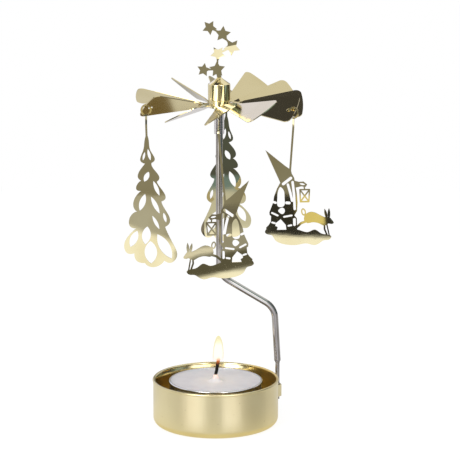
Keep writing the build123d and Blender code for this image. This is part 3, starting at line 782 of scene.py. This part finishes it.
def pale_floor():
    """A pale disc that looks white and keeps a faint shadow. The metal mirrors its own picture of it."""
    place = (0, 0, -FLOOR_DROP)
    bpy.ops.mesh.primitive_circle_add(
        vertices=FLOOR_SIDES, radius=FLOOR_RADIUS, fill_type="NGON", location=place)
    floor = bpy.context.object
    floor.name = "floor"
    material, tree, shader, coordinates = finish_named("pale_floor")
    shader.inputs["Base Color"].default_value = FLOOR_GREY
    shader.inputs["Roughness"].default_value = 0.9
    path = put(tree, "LightPath")
    white = put(tree, "Emission", Color=(1, 1, 1, 1), Strength=FLOOR_WHITE)
    shade = mirrored_floor(tree, coordinates.outputs["Object"])
    mirrored = put(tree, "Emission", Color=shade, Strength=1.0)
    seen = put(tree, "MixShader", Fac=times(tree, path.outputs["Is Camera Ray"], WHITE_SHARE))
    link(tree, shader.outputs[0], seen.inputs[1])
    link(tree, white.outputs[0], seen.inputs[2])
    glossy = put(tree, "MixShader", Fac=path.outputs["Is Glossy Ray"])
    link(tree, seen.outputs[0], glossy.inputs[1])
    link(tree, mirrored.outputs[0], glossy.inputs[2])
    link(tree, glossy.outputs[0], tree.nodes["Material Output"].inputs["Surface"])
    floor.data.materials.append(material)


# The room that the metal mirrors: degrees from the camera toward the right, and colour
ROOM = [
    (-180, (0.32, 0.31, 0.27)), (-166, (0.36, 0.35, 0.30)), (-152, (0.80, 0.79, 0.76)),
    (-125, (0.72, 0.71, 0.74)), (-96, (0.72, 0.71, 0.74)), (-88, (1.0, 1.0, 0.95)),
    (-78, (0.18, 0.18, 0.14)), (-58, (0.14, 0.14, 0.10)), (-52, (1.7, 1.7, 1.7)),
    (-24, (1.7, 1.7, 1.7)), (-18, (0.80, 0.78, 0.70)), (-8, (0.36, 0.34, 0.29)),
    (3, (0.29, 0.28, 0.24)), (8, (0.10, 0.12, 0.12)), (27, (0.11, 0.115, 0.11)),
    (33, (0.55, 0.53, 0.50)), (48, (0.62, 0.62, 0.60)), (55, (0.10, 0.11, 0.10)),
    (62, (0.12, 0.14, 0.14)), (70, (0.36, 0.55, 0.62)), (78, (0.30, 0.42, 0.42)),
    (88, (0.15, 0.18, 0.16)), (96, (0.05, 0.05, 0.05)), (122, (0.05, 0.05, 0.05)),
    (130, (0.72, 0.71, 0.74)), (152, (0.80, 0.79, 0.76)), (166, (0.36, 0.35, 0.30)),
    (180, (0.32, 0.31, 0.27)),
]
CEILING = (0.92, 0.92, 0.90, 1)
CEILING_FROM = 0.50, 0.68

# Round spots in the room: degrees toward the right and upward, inner and outer half width, and colour
SPOTS = [
    (-155, 70, 15, 20, (0.068, 0.067, 0.074, 1)),
    (-161, 28, 10, 16, (1.0, 1.03, 1.40, 1)),
    (29, 17, 17, 21, (2.3, 2.3, 2.3, 1)),
]

# Light on all that doesn't mirror the room, the middle of the figures and the candle's own light
FILL_LIGHT = 0.6
FIGURE_MIDDLE = 0.08 * UP
CANDLE_PLACE = (0.001, 0, WAX_CREST + 0.009)
CANDLE_COLOUR = (1.0, 0.80, 0.52)


# Light

def toward(turn, height):
    """A direction by degrees from the camera toward the right, and upward."""
    level = cos(radians(turn)) * TO_CAMERA + sin(radians(turn)) * TO_RIGHT
    return cos(radians(height)) * level + sin(radians(height)) * UP


def mirrored_room(tree, direction):
    """The room's colour in the metal, with the ceiling and the spots."""
    turn = calc(tree, "ARCTAN2", along(tree, direction, TO_RIGHT), along(tree, direction, TO_CAMERA))
    room = shades_round(tree, turn, ROOM)
    room = blend(tree, fade(tree, along(tree, direction, UP), *CEILING_FROM), room, CEILING)
    for right, height, inner, outer, colour in SPOTS:
        nearness = along(tree, direction, toward(right, height))
        room = blend(tree, fade(tree, nearness, cos(radians(outer)), cos(radians(inner))), room, colour)
    return room


def studio_world():
    """White all round, with the room in what the metal mirrors and a softer light on all else."""
    world = bpy.data.worlds.new("studio")
    scene.world = world
    world.use_nodes = True
    tree = world.node_tree
    tree.nodes.clear()
    path = put(tree, "LightPath")
    room = mirrored_room(tree, put(tree, "TexCoord").outputs["Generated"])
    colour = blend(tree, path.outputs["Is Glossy Ray"], (1, 1, 1, 1), room)
    backdrop = put(tree, "Background", Color=colour, Strength=1.0)
    fill = put(tree, "Background", Color=(1, 1, 1, 1), Strength=FILL_LIGHT)
    seen = calc(tree, "MAXIMUM", path.outputs["Is Camera Ray"], path.outputs["Is Glossy Ray"])
    seen = calc(tree, "MAXIMUM", seen, path.outputs["Is Transmission Ray"])
    mixed = put(tree, "MixShader", Fac=seen)
    link(tree, fill.outputs[0], mixed.inputs[1])
    link(tree, backdrop.outputs[0], mixed.inputs[2])
    link(tree, mixed.outputs[0], put(tree, "OutputWorld").inputs["Surface"])


def candle_light(power, softness):
    """The flame's own warm light on the wax and the cup's inside."""
    bpy.ops.object.light_add(type="POINT", location=CANDLE_PLACE)
    lamp = bpy.context.object
    lamp.name = "candle_light"
    lamp.data.color = CANDLE_COLOUR
    lamp.data.shadow_soft_size = softness
    lamp.data.energy = power


def softbox(name, direction, distance, width, height, power):
    """A soft lamp that looks at the figures, in a direction from them."""
    bpy.ops.object.light_add(type="AREA", location=FIGURE_MIDDLE + distance * direction)
    lamp = bpy.context.object
    lamp.name = name
    lamp.data.shape = "RECTANGLE"
    lamp.data.size = width
    lamp.data.size_y = height
    lamp.data.energy = power
    lamp.rotation_mode = "QUATERNION"
    lamp.rotation_quaternion = (-direction).to_track_quat("-Z", "Y")


look_from_photograph()
candle_light(power=0.002, softness=0.002)
pale_floor()
studio_world()
softbox("softbox_left", toward(-31, 22), distance=0.75, width=0.34, height=0.55, power=2.4)
softbox("softbox_right", toward(24, 34), distance=0.80, width=0.16, height=0.30, power=1.0)
scene.view_settings.view_transform = "Standard"
